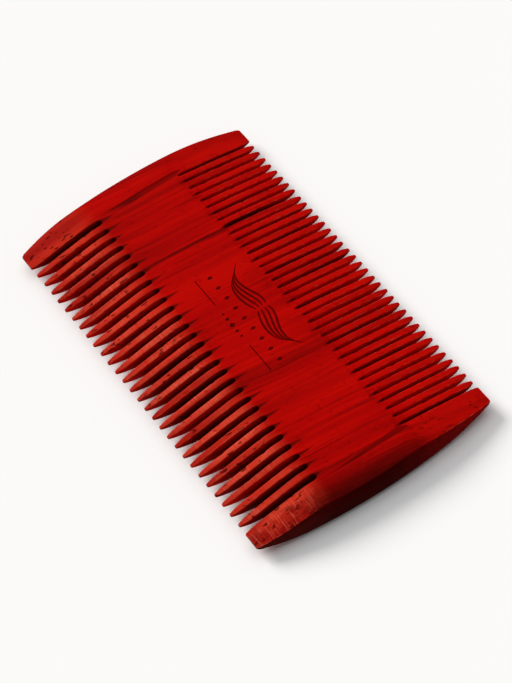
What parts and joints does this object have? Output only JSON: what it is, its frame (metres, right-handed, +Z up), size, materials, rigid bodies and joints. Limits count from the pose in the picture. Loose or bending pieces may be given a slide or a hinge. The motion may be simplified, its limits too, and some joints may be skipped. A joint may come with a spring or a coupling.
{
  "type": "beard comb",
  "caption": "Flat double-sided wooden beard comb with coarse teeth along one long edge, fine teeth along the other, a solid spine and bowed solid ends.",
  "frame": {"origin": "under the middle of the comb, on the flat underside of the spine", "axes": "+X along the two rows of teeth, +Y along the teeth from the coarse edge to the fine edge, +Z up through the thickness"},
  "size_m": [0.089, 0.0502, 0.0058],
  "materials": {
    "red_hardwood": "oiled satin, sawn faces darker"
  },
  "bodies": {
    "root": {"spine": "red_hardwood", "end_guard_left": "red_hardwood", "end_guard_right": "red_hardwood", "coarse_tooth_01": "red_hardwood", "coarse_tooth_02": "red_hardwood", "coarse_tooth_03": "red_hardwood", "coarse_tooth_04": "red_hardwood", "coarse_tooth_05": "red_hardwood", "coarse_tooth_06": "red_hardwood", "coarse_tooth_07": "red_hardwood", "coarse_tooth_08": "red_hardwood", "coarse_tooth_09": "red_hardwood", "coarse_tooth_10": "red_hardwood", "coarse_tooth_11": "red_hardwood", "coarse_tooth_12": "red_hardwood", "coarse_tooth_13": "red_hardwood", "coarse_tooth_14": "red_hardwood", "coarse_tooth_15": "red_hardwood", "coarse_tooth_16": "red_hardwood", "coarse_tooth_17": "red_hardwood", "coarse_tooth_18": "red_hardwood", "coarse_tooth_19": "red_hardwood", "coarse_tooth_20": "red_hardwood", "coarse_tooth_21": "red_hardwood", "coarse_tooth_22": "red_hardwood", "coarse_tooth_23": "red_hardwood", "coarse_tooth_24": "red_hardwood", "coarse_tooth_25": "red_hardwood", "coarse_tooth_26": "red_hardwood", "coarse_tooth_27": "red_hardwood", "coarse_tooth_28": "red_hardwood", "fine_tooth_pair_01": "red_hardwood", "fine_tooth_pair_02": "red_hardwood", "fine_tooth_pair_03": "red_hardwood", "fine_tooth_pair_04": "red_hardwood", "fine_tooth_pair_05": "red_hardwood", "fine_tooth_pair_06": "red_hardwood", "fine_tooth_pair_07": "red_hardwood", "fine_tooth_pair_08": "red_hardwood", "fine_tooth_pair_09": "red_hardwood", "fine_tooth_pair_10": "red_hardwood", "fine_tooth_pair_11": "red_hardwood", "fine_tooth_pair_12": "red_hardwood", "fine_tooth_pair_13": "red_hardwood", "fine_tooth_pair_14": "red_hardwood", "fine_tooth_pair_15": "red_hardwood", "fine_tooth_pair_16": "red_hardwood", "fine_tooth_pair_17": "red_hardwood", "fine_tooth_pair_18": "red_hardwood"}
  },
  "joints": []
}
